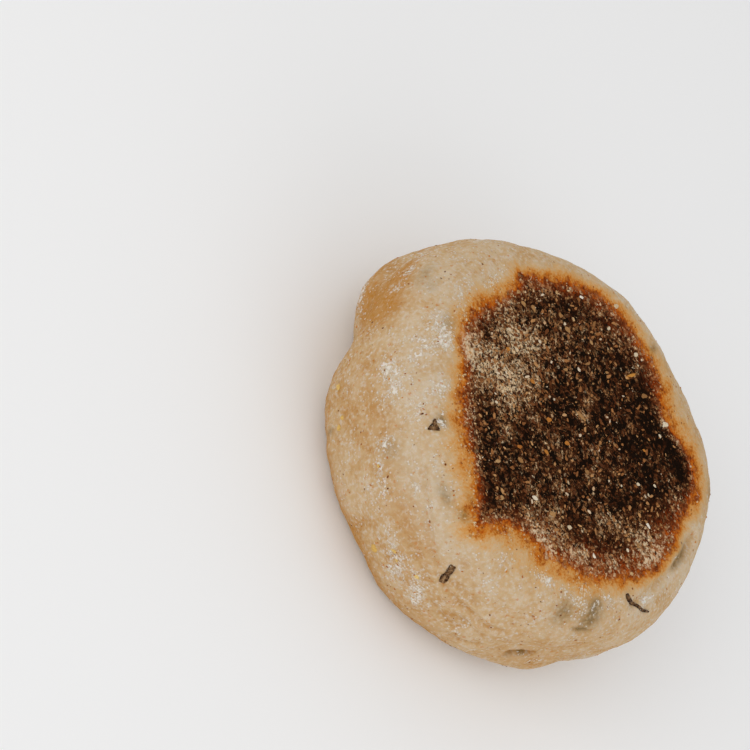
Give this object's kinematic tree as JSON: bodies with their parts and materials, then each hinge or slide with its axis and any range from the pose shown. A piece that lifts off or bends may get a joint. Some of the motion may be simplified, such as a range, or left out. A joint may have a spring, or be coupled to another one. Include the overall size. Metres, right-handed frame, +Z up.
{
  "type": "english muffin",
  "caption": "Round griddled bread roll, flat on both baked faces, with a floury rounded side, a soft waist fold, a browned top face and a flat underside to rest on.",
  "frame": {"origin": "middle of the muffin's width and depth, on the flat underside", "axes": "+Z up out of the browned top face; +Y away from the side that shows most in the usual view"},
  "size_m": [0.0934, 0.09, 0.0341],
  "materials": {
    "crust": "floury matte baked dough, cream on the side and scorched dark brown on the griddled faces"
  },
  "bodies": {
    "root": {"english_muffin": "crust"}
  },
  "joints": []
}
